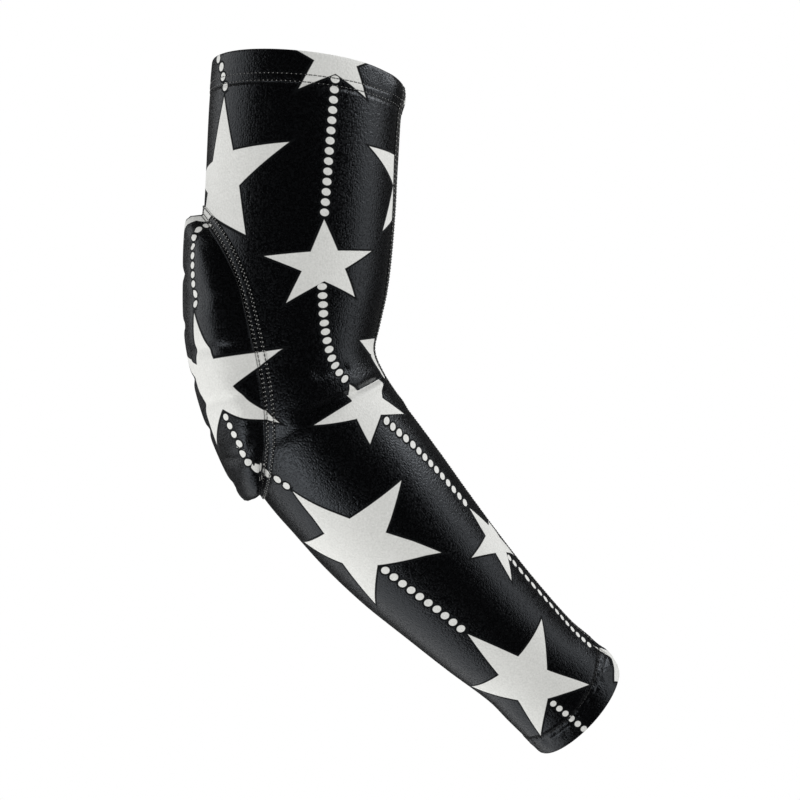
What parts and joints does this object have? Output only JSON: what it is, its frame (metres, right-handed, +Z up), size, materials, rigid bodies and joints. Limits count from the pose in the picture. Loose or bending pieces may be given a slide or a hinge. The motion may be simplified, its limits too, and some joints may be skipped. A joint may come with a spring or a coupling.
{
  "type": "basketball elbow pad sleeve",
  "caption": "Stretch-knit compression arm sleeve shown worn on a bent arm, open at both ends, with a raised pad of foam cells stitched over the back of the elbow.",
  "frame": {"origin": "middle of the elbow inside the sleeve, where the upper arm's line and the forearm's line meet", "axes": "+Z up the upper arm, +X towards the crook of the elbow, the forearm runs down towards +X and a little towards +Y"},
  "size_m": [0.2447, 0.1127, 0.3553],
  "materials": {
    "knit": "satin",
    "hem_knit": "satin",
    "cover_knit": "satin",
    "thread": "matte",
    "foam": "matte"
  },
  "bodies": {
    "root": {"arm_seam": "thread", "foam_cell_far_1": "foam", "foam_cell_far_2": "foam", "foam_cell_far_3": "foam", "foam_cell_far_4": "foam", "foam_cell_far_5": "foam", "foam_cell_far_6": "foam", "foam_cell_middle_1": "foam", "foam_cell_middle_2": "foam", "foam_cell_middle_3": "foam", "foam_cell_middle_4": "foam", "foam_cell_middle_5": "foam", "foam_cell_near_1": "foam", "foam_cell_near_2": "foam", "foam_cell_near_3": "foam", "foam_cell_near_4": "foam", "foam_cell_near_5": "foam", "foam_cell_near_6": "foam", "pad_cover": "cover_knit", "pad_seam": "thread", "sleeve_tube": "knit", "upper_hem": "hem_knit", "wrist_hem": "hem_knit"}
  },
  "joints": []
}
